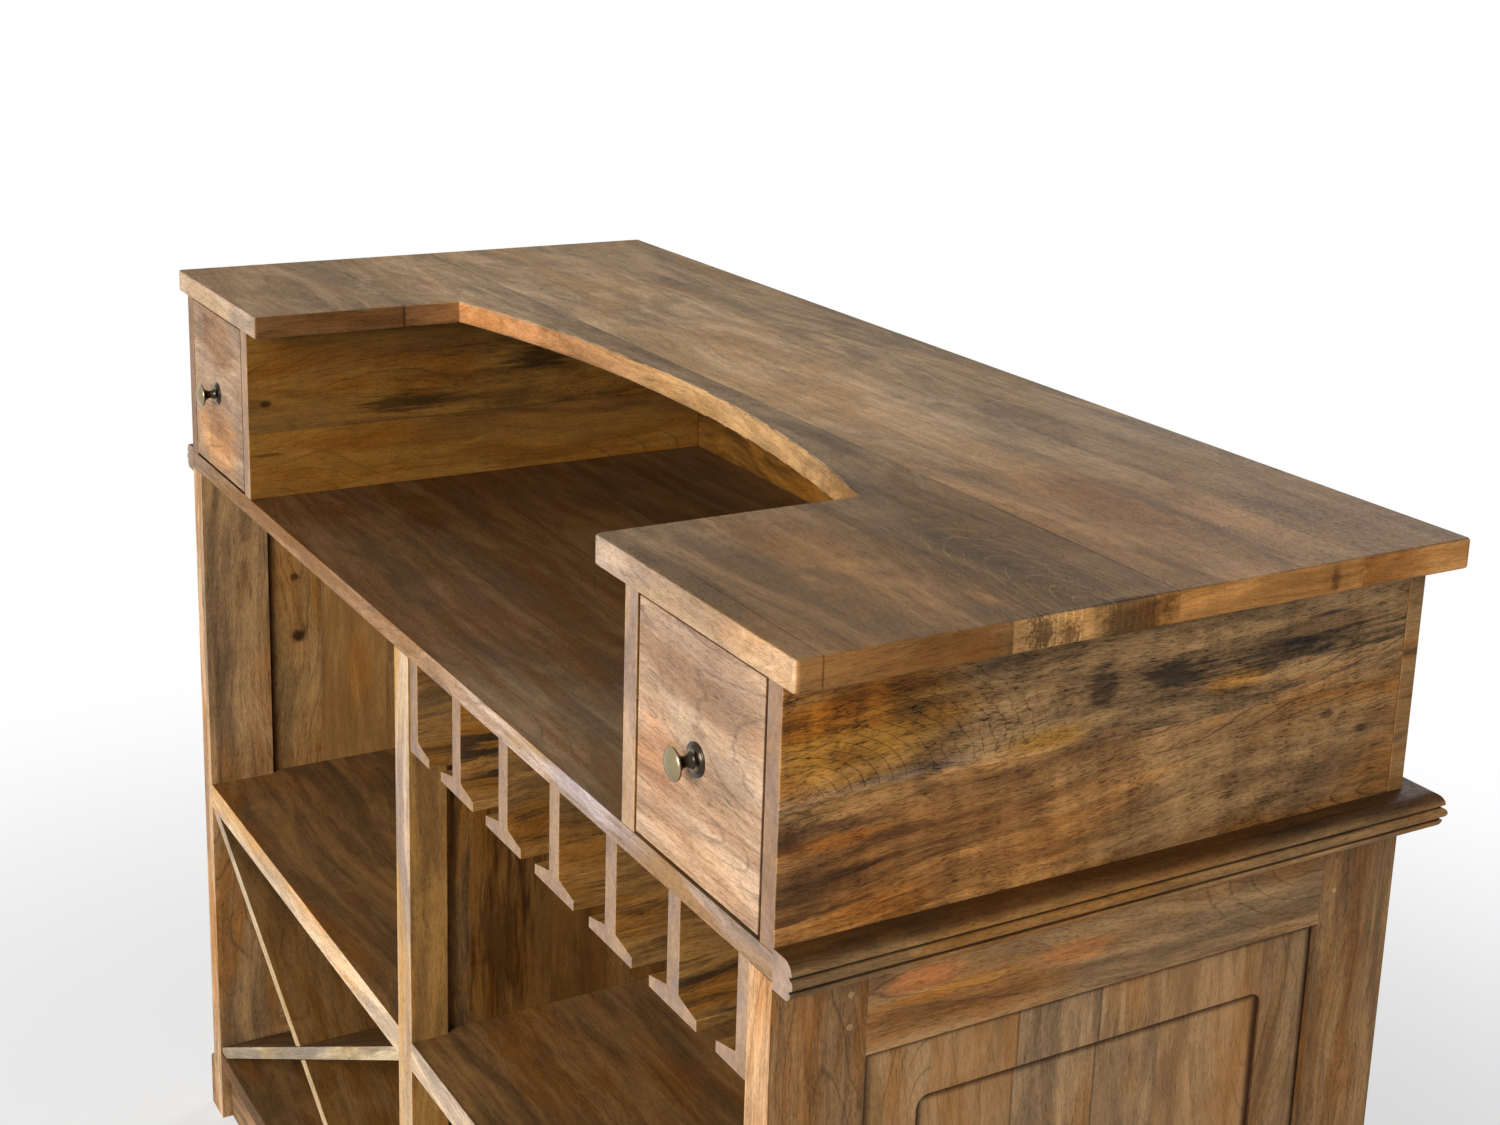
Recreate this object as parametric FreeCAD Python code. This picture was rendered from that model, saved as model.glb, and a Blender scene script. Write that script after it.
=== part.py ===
import FreeCAD, Part
import os
from FreeCAD import Vector

# A free-standing solid-wood bar. Sizes are in millimetres.
# X runs along the bar, -Y faces the server, +Y faces the guests and +Z is up.
# The origin is on the floor, at the middle of the whole object's footprint.

# Top slab
slab_width = 1370.0
slab_depth = 590.0
slab_thick = 24.0
slab_corner_radius = 4.0
slab_ease = 2.5
end_overhang = 21.0
guest_overhang = 21.0
server_overhang = 4.0

# Curved bite in the slab, where the server stands, between a wing over each drawer
slab_wing = 283.0
bite_side_depth = 228.0
bite_rise = 52.0

# Heights
overall_height = 1067.0
drawer_pocket_height = 186.0
counter_thick = 20.0
shelf_level = 450.0
shelf_thick = 30.0
floor_thick = 20.0
base_height = 70.0

# Upper case
upper_end_thick = 18.0
inner_side_thick = 20.0
drawer_pocket_width = 181.0
upper_back_thick = 16.0

# Frames: ends and guests' side
frame_thick = 30.0
guest_frame_thick = 24.0
stile_width = 76.0
guest_stile_width = 46.0
muntin_width = 76.0
rail_height = 74.0
tenon_thick = 10.0
tenon_length = 35.0
tenon_shoulder = 10.0
peg_radius = 2.5
peg_depth = 24.0
peg_inset = 14.0
peg_spacing = 24.0

# Floating panels with a sunk field
panel_thick = 16.0
panel_setback = 5.0
panel_gap = 1.5
tongue_thick = 8.0
tongue_depth = 9.0
groove_float = 1.0
field_margin = 48.0
field_depth = 3.0
field_radius = 10.0

# Centre divider
divider_thick = 34.0
divider_post_depth = 38.0
divider_panel_thick = 16.0
divider_groove = 10.0

# Shelves
shelf_fit = 0.5

# Crossed bottle rack
cross_thick = 14.0
rack_setback = 2.0

# Stemware rack
slot_count = 6
web_thick = 18.0
rack_drop = 91.0
flange_width = 72.0
flange_edge = 9.0
flange_slope = 6.0

# Counter moulding
moulding_rise = 4.0
moulding_flat = 14.0
ovolo_radius = 9.5
quirk_depth = 2.5
quirk_height = 2.5
bead_radius = 4.0
lower_quirk = 2.0
lower_lip = 1.5
lower_radius = 6.5

# Base
skirting_thick = 14.0
skirting_radius = 8.0
base_rail_thick = 22.0
base_rail_setback = 12.0

# Drawers
drawer_gap = 3.0
drawer_run_gap = 0.5
drawer_front_thick = 20.0
drawer_front_ease = 1.5
drawer_depth = 440.0
drawer_side_height = 150.0
drawer_side_thick = 12.0
drawer_back_drop = 8.0
drawer_bottom_thick = 6.0
drawer_bottom_lift = 10.0
drawer_groove = 5.0
drawer_bottom_float = 0.3
tail_count = 3
tail_length = 13.0
tail_root = 20.0
tail_flare = 4.0

# Knobs
rosette_radius = 12.5
rosette_rim = 1.2
rosette_height = 4.0
rosette_swell = 0.5
knob_seat_radius = 6.5
knob_neck_radius = 4.0
knob_neck_length = 6.0
knob_neck_hollow = 0.6
knob_cap_radius = 12.0
knob_cap_flare = 7.5
knob_cap_hollow = 1.2
knob_rim = 1.5
knob_dome = 4.0
stud_radius = 2.0
stud_length = 14.0
stud_clearance = 0.2

# Places worked out from the sizes above
case_half = slab_width / 2 - end_overhang
case_depth = slab_depth - server_overhang - guest_overhang
knob_reach = rosette_height + knob_neck_length + knob_cap_flare + knob_rim + knob_dome
moulding_reach = moulding_flat + ovolo_radius - quirk_depth + bead_radius
back_reach = max(moulding_reach, guest_overhang)
case_front = (knob_reach - case_depth - back_reach) / 2
case_back = case_front + case_depth
slab_front = case_front - server_overhang

slab_under = overall_height - slab_thick
counter_top = slab_under - drawer_pocket_height
counter_under = counter_top - counter_thick
shelf_under = shelf_level - shelf_thick
floor_top = base_height + floor_thick
bottom_rail_top = base_height + rail_height

frame_inner = case_half - frame_thick
end_panel_inner = case_half - panel_setback - panel_thick
guest_inner = case_back - guest_frame_thick
divider_half = divider_thick / 2
divider_panel_half = divider_panel_thick / 2
post_back = case_front + divider_post_depth
upper_back_front = case_back - upper_back_thick
pocket_outer = case_half - upper_end_thick
pocket_inner = pocket_outer - drawer_pocket_width

nodes = {}


def box(x0, x1, y0, y1, z0, z1):
    return Part.makeBox(x1 - x0, y1 - y0, z1 - z0, Vector(x0, y0, z0))


def prism(points, travel):
    """A flat outline of corner points, drawn out along a straight line."""
    outline = Part.makePolygon(points + points[:1])
    return Part.Face(outline).extrude(travel)


def mirrored(shape):
    """The same piece at the other end of the bar."""
    return shape.mirror(Vector(0, 0, 0), Vector(1, 0, 0))


def pair(name, shape):
    """A piece that the bar has at both ends; the shape given is the right one."""
    nodes[name + "_right"] = shape
    nodes[name + "_left"] = mirrored(shape)


def arc(start, middle, end):
    return Part.Arc(start, middle, end).toShape()


def line(start, end):
    return Part.makeLine(start, end)


# Base and floor


def skirting_profile():
    """Outline of the skirting board: distance out from the case, then height."""
    out = skirting_thick
    bend = skirting_radius
    diagonal = bend * 0.5 ** 0.5
    centre = (out - bend, base_height - bend)
    middle = (centre[0] + diagonal, centre[1] + diagonal)
    return [
        ("line", (0, 0), (out, 0)),
        ("line", (out, 0), (out, centre[1])),
        ("arc", (out, centre[1]), middle, (centre[0], base_height)),
        ("line", (centre[0], base_height), (0, base_height)),
        ("line", (0, base_height), (0, 0)),
    ]


def wrapped_trim(name, profile, reach):
    """Trim round both ends and the guests' side, mitred at the two corners."""
    tall = overall_height
    side_run = case_depth + reach
    back_run = 2 * (case_half + reach)

    def swept(place, travel):
        edges = []
        for kind, *points in profile:
            placed = [place(out, up) for out, up in points]
            edges.append(line(*placed) if kind == "line" else arc(*placed))
        return Part.Face(Part.Wire(edges)).extrude(travel)

    def at_end(out, up):
        return Vector(case_half + out, case_front, up)

    def at_back(out, up):
        return Vector(-case_half - reach, case_back + out, up)

    end_plan = [
        Vector(case_half, case_front, 0),
        Vector(case_half + reach, case_front, 0),
        Vector(case_half + reach, case_back + reach, 0),
        Vector(case_half, case_back, 0),
    ]
    back_plan = [
        Vector(-case_half, case_back, 0),
        Vector(case_half, case_back, 0),
        Vector(case_half + reach, case_back + reach, 0),
        Vector(-case_half - reach, case_back + reach, 0),
    ]
    up = Vector(0, 0, tall)
    pair(name, swept(at_end, Vector(0, side_run, 0)).common(prism(end_plan, up)))
    nodes[name + "_guest"] = swept(at_back, Vector(back_run, 0, 0)).common(prism(back_plan, up))


wrapped_trim("skirting", skirting_profile(), skirting_thick)
base_rail_front = case_front + base_rail_setback
nodes["base_rail_front"] = box(
    -frame_inner, frame_inner, base_rail_front, base_rail_front + base_rail_thick, 0, base_height
)
nodes["floor_board"] = box(-frame_inner, frame_inner, case_front, guest_inner, base_height, floor_top)


# Frames


def plank(run, low, high, near, far, bottom, top):
    """A board of a frame: `run` is the axis along the frame, near to far is its thickness."""
    if run == "y":
        return box(near, far, low, high, bottom, top)
    return box(low, high, near, far, bottom, top)


def rounded(shape, run, radius):
    """Rounds the four edges that go through the frame's thickness."""
    through = Vector(1, 0, 0) if run == "y" else Vector(0, 1, 0)
    edges = [e for e in shape.Edges if abs(e.tangentAt(e.FirstParameter).dot(through)) > 0.99]
    return shape.makeFillet(radius, edges)


def make_frame(run, near, far, stiles, muntins):
    """Stiles, bottom and top rail, muntins and floating panels, joined by tenons and grooves."""
    panel_far = far - panel_setback
    panel_near = panel_far - panel_thick
    panel_middle = (panel_near + panel_far) / 2
    tenon = (panel_middle - tenon_thick / 2, panel_middle + tenon_thick / 2)
    tongue = (panel_middle - tongue_thick / 2, panel_middle + tongue_thick / 2)
    low, high = stiles[0][1], stiles[1][0]
    sill, lintel = bottom_rail_top, counter_under - rail_height

    rails = []
    for bottom, top in ((0, sill), (lintel, counter_under)):
        body = plank(run, low, high, near, far, bottom, top)
        ends = plank(
            run, low - tenon_length, high + tenon_length, *tenon, bottom + tenon_shoulder, top - tenon_shoulder
        )
        rails.append(body.fuse(ends))

    uprights = []
    for left, right in muntins:
        body = plank(run, left, right, near, far, sill, lintel)
        ends = plank(
            run, left + tenon_shoulder, right - tenon_shoulder, *tenon, sill - tenon_length, lintel + tenon_length
        )
        uprights.append(body.fuse(ends))

    panels = []
    grooves = []
    sides = [low] + [edge for span in muntins for edge in span] + [high]
    for left, right in zip(sides[0::2], sides[1::2]):
        body = plank(
            run, left + panel_gap, right - panel_gap, panel_near, panel_far, sill + panel_gap, lintel - panel_gap
        )
        edge = plank(
            run, left - tongue_depth, right + tongue_depth, *tongue, sill - tongue_depth, lintel + tongue_depth
        )
        field = plank(
            run,
            left + field_margin,
            right - field_margin,
            panel_far - field_depth,
            panel_far + field_depth,
            sill + field_margin,
            lintel - field_margin,
        )
        panels.append(body.fuse(edge).cut(rounded(field, run, field_radius)))
        reach = tongue_depth + groove_float
        grooves.append(plank(run, left - reach, right + reach, *tongue, sill - reach, lintel + reach))

    posts = []
    for left, right in stiles:
        post = plank(run, left, right, near, far, 0, counter_under)
        posts.append(post.cut(rails + grooves))
    rails = [rail.cut(uprights + grooves) for rail in rails]
    uprights = [upright.cut(grooves) for upright in uprights]
    return posts, rails, uprights, panels


end_stiles = ((case_front, case_front + stile_width), (case_back - stile_width, case_back))
end_posts, end_rails, _, end_panels = make_frame("y", frame_inner, case_half, end_stiles, ())

pegs = []
for joint, way in ((end_stiles[0][1], -1), (end_stiles[1][0], 1)):
    for rail_middle in (bottom_rail_top - rail_height / 2, counter_under - rail_height / 2):
        for step in (-peg_spacing / 2, peg_spacing / 2):
            place = Vector(case_half - peg_depth, joint + way * peg_inset, rail_middle + step)
            pegs.append(Part.makeCylinder(peg_radius, peg_depth, place, Vector(1, 0, 0)))

pair("end_front_stile", end_posts[0].cut(pegs))
pair("end_rear_stile", end_posts[1].cut(pegs))
pair("end_bottom_rail", end_rails[0].cut(pegs))
pair("end_top_rail", end_rails[1].cut(pegs))
pair("end_panel", end_panels[0])
nodes["frame_pegs"] = Part.makeCompound(pegs + [mirrored(peg) for peg in pegs])

guest_stiles = ((-frame_inner, guest_stile_width - frame_inner), (frame_inner - guest_stile_width, frame_inner))
guest_muntin = (-muntin_width / 2, muntin_width / 2)
guest_posts, guest_rails, guest_uprights, guest_panels = make_frame(
    "x", guest_inner, case_back, guest_stiles, (guest_muntin,)
)
nodes["guest_stile_left"], nodes["guest_stile_right"] = guest_posts
nodes["guest_bottom_rail"], nodes["guest_top_rail"] = guest_rails
nodes["guest_muntin"] = guest_uprights[0]
nodes["guest_panel_left"], nodes["guest_panel_right"] = guest_panels


# Divider and shelves

groove = box(
    -divider_panel_half, divider_panel_half, post_back - divider_groove, post_back, floor_top, counter_under
)
post = box(-divider_half, divider_half, case_front, post_back, floor_top, counter_under)
nodes["divider_post"] = post.cut(groove)
nodes["divider_panel"] = box(
    -divider_panel_half,
    divider_panel_half,
    post_back - divider_groove + groove_float,
    guest_inner,
    floor_top,
    counter_under,
)

shelf = box(
    divider_panel_half + shelf_fit,
    end_panel_inner - shelf_fit,
    case_front,
    guest_inner,
    shelf_under,
    shelf_level,
)
notches = [box(frame_inner, case_half, front, back, 0, counter_under) for front, back in end_stiles]
pair("shelf", shelf.cut(notches + [post]))


# Crossed bottle rack in the lower left bay

rack_front = case_front + rack_setback
rack_run = Vector(0, guest_inner - rack_front, 0)
rack_half_run = Vector(0, (guest_inner - rack_front) / 2, 0)
bay = box(-frame_inner, -divider_half, rack_front, guest_inner, floor_top, shelf_under)


def crossing_band(start_level, end_level, front, travel):
    """A straight band from one side of the bay to the other, as thick as a rack board."""
    start = Vector(-frame_inner, front, start_level)
    end = Vector(-divider_half, front, end_level)
    along = (end - start).normalize()
    across = Vector(-along.z, 0, along.x) * (cross_thick / 2)
    spare = along * shelf_level
    corners = [start - spare - across, end + spare - across, end + spare + across, start - spare + across]
    return prism(corners, travel)


rack_middle = rack_front + rack_half_run.y
falling_notch = crossing_band(floor_top, shelf_under, rack_front, rack_half_run)
rising_notch = crossing_band(shelf_under, floor_top, rack_middle, rack_half_run)
falling = crossing_band(shelf_under, floor_top, rack_front, rack_run)
rising = crossing_band(floor_top, shelf_under, rack_front, rack_run)
nodes["cross_board_falling"] = falling.common(bay).cut(falling_notch)
nodes["cross_board_rising"] = rising.common(bay).cut(rising_notch)


# Stemware rack under the counter of the right bay


def stem_rail(centre, left_reach, right_reach):
    """A T rail; a reach of half the web leaves the flange out on that side."""
    half_web = web_thick / 2
    top = counter_under
    bottom = top - rack_drop
    shoulder = bottom + flange_edge
    outline = [(centre - half_web, top), (centre + half_web, top)]
    if right_reach > half_web:
        outline += [(centre + half_web, shoulder + flange_slope), (centre + right_reach, shoulder)]
    outline += [(centre + right_reach, bottom), (centre - left_reach, bottom)]
    if left_reach > half_web:
        outline += [(centre - left_reach, shoulder), (centre - half_web, shoulder + flange_slope)]
    return prism([Vector(x, rack_front, z) for x, z in outline], rack_run)


first_web = divider_half + web_thick / 2
last_web = frame_inner - web_thick / 2
web_pitch = (last_web - first_web) / slot_count
for number in range(slot_count + 1):
    reach_left = web_thick / 2 if number == 0 else flange_width / 2
    reach_right = web_thick / 2 if number == slot_count else flange_width / 2
    nodes[f"stem_rail_{number + 1}"] = stem_rail(first_web + number * web_pitch, reach_left, reach_right)


# Counter and its moulding

nodes["counter_board"] = box(-case_half, case_half, case_front, case_back, counter_under, counter_top)


def moulding_profile():
    """Outline of the moulding: distance out from the case, then height."""
    diagonal = 0.5 ** 0.5
    top = counter_top + moulding_rise
    ovolo_out = moulding_flat + ovolo_radius
    ovolo_end = top - ovolo_radius
    quirk_out = ovolo_out - quirk_depth
    bead_top = ovolo_end - quirk_height
    bead_middle = bead_top - bead_radius
    bead_end = bead_middle - bead_radius
    lip_top = bead_end - lower_quirk
    lip_out = quirk_out + lower_lip
    foot_out = lip_out - lower_radius
    foot = lip_top - lower_radius
    ovolo_middle = (moulding_flat + ovolo_radius * diagonal, ovolo_end + ovolo_radius * diagonal)
    lower_middle = (foot_out + lower_radius * diagonal, lip_top - lower_radius * diagonal)
    return [
        ("line", (0, top), (moulding_flat, top)),
        ("arc", (moulding_flat, top), ovolo_middle, (ovolo_out, ovolo_end)),
        ("line", (ovolo_out, ovolo_end), (quirk_out, ovolo_end)),
        ("line", (quirk_out, ovolo_end), (quirk_out, bead_top)),
        ("arc", (quirk_out, bead_top), (quirk_out + bead_radius, bead_middle), (quirk_out, bead_end)),
        ("line", (quirk_out, bead_end), (quirk_out, lip_top)),
        ("line", (quirk_out, lip_top), (lip_out, lip_top)),
        ("arc", (lip_out, lip_top), lower_middle, (foot_out, foot)),
        ("line", (foot_out, foot), (0, foot)),
        ("line", (0, foot), (0, top)),
    ]


wrapped_trim("moulding", moulding_profile(), moulding_reach)


# Upper case

pair("upper_end", box(pocket_outer, case_half, case_front, upper_back_front, counter_top, slab_under))
pair(
    "inner_side",
    box(pocket_inner - inner_side_thick, pocket_inner, case_front, upper_back_front, counter_top, slab_under),
)
nodes["upper_back"] = box(-case_half, case_half, upper_back_front, case_back, counter_top, slab_under)


# Drawers

box_left = pocket_inner + drawer_gap
box_right = pocket_outer - drawer_gap
front_back = case_front + drawer_front_thick
box_back = case_front + drawer_depth
side_bottom = counter_top + drawer_run_gap
side_top = side_bottom + drawer_side_height
bottom_under = side_bottom + drawer_bottom_lift
bottom_top = bottom_under + drawer_bottom_thick
inside_left = box_left + drawer_side_thick
inside_right = box_right - drawer_side_thick


def dovetails(left, right):
    """Tails on the end of a drawer side, which the drawer front is cut to take."""
    pitch = drawer_side_height / tail_count
    tails = []
    for number in range(tail_count):
        middle = side_bottom + (number + 0.5) * pitch
        root = tail_root / 2
        tip = root + tail_flare
        corners = [
            Vector(left, front_back, middle - root),
            Vector(left, front_back - tail_length, middle - tip),
            Vector(left, front_back - tail_length, middle + tip),
            Vector(left, front_back, middle + root),
        ]
        tails.append(prism(corners, Vector(right - left, 0, 0)))
    return tails


bottom_groove = box(
    inside_left - drawer_groove,
    inside_right + drawer_groove,
    front_back - drawer_groove,
    box_back,
    bottom_under,
    bottom_top,
)
inner_tails = dovetails(box_left, inside_left)
outer_tails = dovetails(inside_right, box_right)
inner_board = box(box_left, inside_left, front_back, box_back, side_bottom, side_top)
outer_board = box(inside_right, box_right, front_back, box_back, side_bottom, side_top)
pair("drawer_inner_side", inner_board.fuse(inner_tails).cut(bottom_groove))
pair("drawer_outer_side", outer_board.fuse(outer_tails).cut(bottom_groove))
pair(
    "drawer_back",
    box(
        inside_left,
        inside_right,
        box_back - drawer_side_thick,
        box_back,
        bottom_top,
        side_top - drawer_back_drop,
    ),
)
pair(
    "drawer_bottom",
    box(
        inside_left - drawer_groove + drawer_bottom_float,
        inside_right + drawer_groove - drawer_bottom_float,
        front_back - drawer_groove + drawer_bottom_float,
        box_back,
        bottom_under,
        bottom_top,
    ),
)

knob_x = (box_left + box_right) / 2
knob_z = (counter_top + slab_under) / 2
stud_hole_radius = stud_radius + stud_clearance
outward = Vector(0, -1, 0)
front_board = box(
    box_left, box_right, case_front, front_back, counter_top + drawer_gap, slab_under - drawer_gap
)
face_edges = [e for e in front_board.Edges if e.BoundBox.YMax < case_front + drawer_front_ease]
front_board = front_board.makeFillet(drawer_front_ease, face_edges)
stud_hole = Part.makeCylinder(stud_hole_radius, drawer_front_thick, Vector(knob_x, front_back, knob_z), outward)
pair("drawer_front", front_board.cut(inner_tails + outer_tails + [bottom_groove, stud_hole]))


# Knobs


def turned(profile):
    """A turned piece on a knob's axis: points are radius, then distance out from the drawer front."""
    placed = []
    for kind, *points in profile:
        spots = [Vector(knob_x + radius, case_front - out, knob_z) for radius, out in points]
        placed.append(line(*spots) if kind == "line" else arc(*spots))
    return Part.Face(Part.Wire(placed)).revolve(Vector(knob_x, case_front, knob_z), outward, 360)


def bowed(start, end, swell):
    """An arc between two profile points whose middle stands off the straight line by the swell."""
    along = Vector(end[0] - start[0], end[1] - start[1], 0)
    off = Vector(along.y, -along.x, 0).normalize() * swell
    middle = ((start[0] + end[0]) / 2 + off.x, (start[1] + end[1]) / 2 + off.y)
    return ("arc", start, middle, end)


rosette_step = rosette_radius - rosette_rim
rosette = turned(
    [
        ("line", (stud_hole_radius, 0), (rosette_radius, 0)),
        ("line", (rosette_radius, 0), (rosette_radius, rosette_rim)),
        ("line", (rosette_radius, rosette_rim), (rosette_step, rosette_rim)),
        bowed((rosette_step, rosette_rim), (knob_seat_radius, rosette_height), rosette_swell),
        ("line", (knob_seat_radius, rosette_height), (stud_hole_radius, rosette_height)),
        ("line", (stud_hole_radius, rosette_height), (stud_hole_radius, 0)),
    ]
)
pair("knob_rosette", rosette)

neck_out = rosette_height + knob_neck_length
flare_out = neck_out + knob_cap_flare
rim_out = flare_out + knob_rim
dome_radius = (knob_cap_radius ** 2 + knob_dome ** 2) / (2 * knob_dome)
half_cap = knob_cap_radius / 2
dome_middle = (half_cap, knob_reach - dome_radius + (dome_radius ** 2 - half_cap ** 2) ** 0.5)
knob = turned(
    [
        ("line", (0, -stud_length), (stud_radius, -stud_length)),
        ("line", (stud_radius, -stud_length), (stud_radius, rosette_height)),
        ("line", (stud_radius, rosette_height), (knob_seat_radius, rosette_height)),
        bowed((knob_seat_radius, rosette_height), (knob_neck_radius, neck_out), -knob_neck_hollow),
        bowed((knob_neck_radius, neck_out), (knob_cap_radius, flare_out), -knob_cap_hollow),
        ("line", (knob_cap_radius, flare_out), (knob_cap_radius, rim_out)),
        ("arc", (knob_cap_radius, rim_out), dome_middle, (0, knob_reach)),
        ("line", (0, knob_reach), (0, -stud_length)),
    ]
)
pair("knob", knob)


# Top slab


def make_top_slab():
    half = slab_width / 2
    bite = half - slab_wing
    back = slab_front + slab_depth
    bite_end = slab_front + bite_side_depth

    def at(x, y):
        return Vector(x, y, slab_under)

    left_front = [at(-half, back), at(-half, slab_front), at(-bite, slab_front), at(-bite, bite_end)]
    right_front = [at(bite, bite_end), at(bite, slab_front), at(half, slab_front), at(half, back)]
    edges = [line(a, b) for a, b in zip(left_front, left_front[1:])]
    edges.append(arc(at(-bite, bite_end), at(0, bite_end + bite_rise), at(bite, bite_end)))
    edges += [line(a, b) for a, b in zip(right_front, right_front[1:])]
    edges.append(line(right_front[-1], left_front[0]))
    slab = Part.Face(Part.Wire(edges)).extrude(Vector(0, 0, slab_thick))

    def is_outer_corner(edge):
        upright = edge.BoundBox.ZLength > slab_thick / 2
        inside = abs(edge.CenterOfMass.y - bite_end) < slab_ease
        return upright and not inside

    slab = slab.makeFillet(slab_corner_radius, [e for e in slab.Edges if is_outer_corner(e)])
    rims = [e for e in slab.Edges if e.BoundBox.ZLength < slab_ease]
    return slab.makeFillet(slab_ease, rims)


nodes["top_slab"] = make_top_slab()


os.makedirs("parts", exist_ok=True)
for name, shape in nodes.items():
    solids = shape.Solids
    whole = solids[0] if len(solids) == 1 else Part.makeCompound(solids)
    whole.exportStep(f"parts/{name}.step")
    print(name, len(solids), whole.isValid(), round(whole.Volume))
print(len(nodes), "nodes")
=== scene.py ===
import math

import bpy
from mathutils import Matrix, Vector


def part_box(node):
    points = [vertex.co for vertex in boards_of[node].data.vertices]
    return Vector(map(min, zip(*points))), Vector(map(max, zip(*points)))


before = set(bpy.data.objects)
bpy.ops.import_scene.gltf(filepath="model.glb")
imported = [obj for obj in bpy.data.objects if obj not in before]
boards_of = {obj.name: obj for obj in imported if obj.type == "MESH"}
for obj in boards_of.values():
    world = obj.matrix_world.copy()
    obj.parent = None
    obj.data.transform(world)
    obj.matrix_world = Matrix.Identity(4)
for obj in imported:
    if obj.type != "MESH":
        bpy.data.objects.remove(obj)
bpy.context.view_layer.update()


# End frames.
# Upright stiles and level rails of solid mango wood, planed, mortised and tenoned together.
# The edges are eased with sandpaper and everything is rubbed with oil, so it stays nearly matt.


def place(tree, kind, wires=None, **settings):
    """One shader node, with its settings and with values or wires on its inputs."""
    node = tree.nodes.new("ShaderNode" + kind)
    for setting, value in settings.items():
        setattr(node, setting, value)
    for key, value in (wires or {}).items():
        if isinstance(value, bpy.types.NodeSocket):
            tree.links.new(value, node.inputs[key])
        else:
            node.inputs[key].default_value = value
    return node


def calc(tree, operation, *values):
    """One calculation with values."""
    return place(tree, "Math", dict(enumerate(values)), operation=operation).outputs[0]


def times(tree, first, second):
    return calc(tree, "MULTIPLY", first, second)


def minus(tree, first, second):
    return calc(tree, "SUBTRACT", first, second)


def plus(tree, base, value, amount):
    """The base with an amount of a value added."""
    return calc(tree, "MULTIPLY_ADD", value, amount, base)


def swing(tree, base, noise, amount):
    """The base, moved up and down by a noise that lies about one half."""
    return plus(tree, base, minus(tree, noise, 0.5), amount)


def rise(tree, value, low, high):
    """0 below low, 1 above high, smooth between them."""
    wires = {"Value": value, "From Min": low, "From Max": high}
    return place(tree, "MapRange", wires, interpolation_type="SMOOTHSTEP").outputs[0]


def fall(tree, value, low, high):
    """1 below low, 0 above high, smooth between them."""
    return minus(tree, 1.0, rise(tree, value, low, high))


def near(tree, value, middle, full, none):
    """1 up to one distance from the middle, 0 beyond another, smooth between them."""
    return fall(tree, calc(tree, "ABSOLUTE", minus(tree, value, middle)), full, none)


def shift(tree, operation, first, second):
    """One calculation with two vectors."""
    return place(tree, "VectorMath", {0: first, 1: second}, operation=operation).outputs[0]


def length(tree, vector):
    return place(tree, "VectorMath", {0: vector}, operation="LENGTH").outputs["Value"]


def axes(tree, vector):
    return place(tree, "SeparateXYZ", {0: vector}).outputs


def facing(tree):
    """The direction in which a face looks, by axis."""
    return axes(tree, place(tree, "TexCoord").outputs["Normal"])


aslant, square_on = 0.5, 0.9


def to_server(tree):
    """1 on faces that look to the server, 0 on others."""
    return rise(tree, times(tree, facing(tree)[1], -1.0), aslant, square_on)


def to_ends(tree):
    """1 on faces that look to the left or to the right, 0 on others."""
    return rise(tree, calc(tree, "ABSOLUTE", facing(tree)[0]), aslant, square_on)


def tint(tree, amount, under, over, how="MIX"):
    """One colour laid over another."""
    wires = {0: amount, 6: under, 7: over}
    return place(tree, "Mix", wires, data_type="RGBA", blend_type=how).outputs[2]


def paint(tree, amount, colour, shade):
    """The colour, covered with a shade."""
    return tint(tree, amount, colour, (*shade, 1))


def dye(tree, amount, colour, shade):
    """The colour, multiplied by a shade."""
    return tint(tree, amount, colour, (*shade, 1), "MULTIPLY")


def lit(tree, colour, light):
    """The colour, brighter or darker."""
    grey = place(tree, "CombineXYZ", {0: light, 1: light, 2: light}).outputs[0]
    return tint(tree, 1.0, colour, grey, "MULTIPLY")


def cloud(tree, spot, detail, roughness=0.5, swirl=0.0):
    """Soft noise about one half; its colour holds three of them."""
    wires = {"Vector": spot, "Scale": 1.0, "Detail": detail, "Roughness": roughness, "Distortion": swirl}
    return place(tree, "TexNoise", wires).outputs


def ramp(tree, value, stops, how="LINEAR"):
    """Colour and alpha of a colour ramp through stops of a position and a colour."""
    node = place(tree, "ValToRGB", {0: value})
    node.color_ramp.interpolation = how
    elements = node.color_ramp.elements
    while len(elements) < len(stops):
        elements.new(1.0)
    for element, (position, colour) in zip(elements, stops):
        element.position = position
        element.color = colour
    return node.outputs


def start_material(name):
    """An empty material and its nodes."""
    material = bpy.data.materials.new(name)
    material.use_nodes = True
    material.node_tree.nodes.clear()
    return material, material.node_tree


def start_group(name, inputs, outputs):
    """An empty node group with named sockets, and the nodes that stand for them."""
    group = bpy.data.node_groups.new(name, "ShaderNodeTree")
    for way, sockets in (("INPUT", inputs), ("OUTPUT", outputs)):
        for label, kind in sockets.items():
            group.interface.new_socket(label, in_out=way, socket_type="NodeSocket" + kind)
    return group, group.nodes.new("NodeGroupInput").outputs, group.nodes.new("NodeGroupOutput").inputs


shades_of_wood = ("Pale", "Warm", "Ash", "Dark")
traits_of_figure = ("Streaks", "Rings", "Curl", "Smoke", "Swirl", "Depth")
smoke_black = (0.04, 0.032, 0.026)


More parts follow.
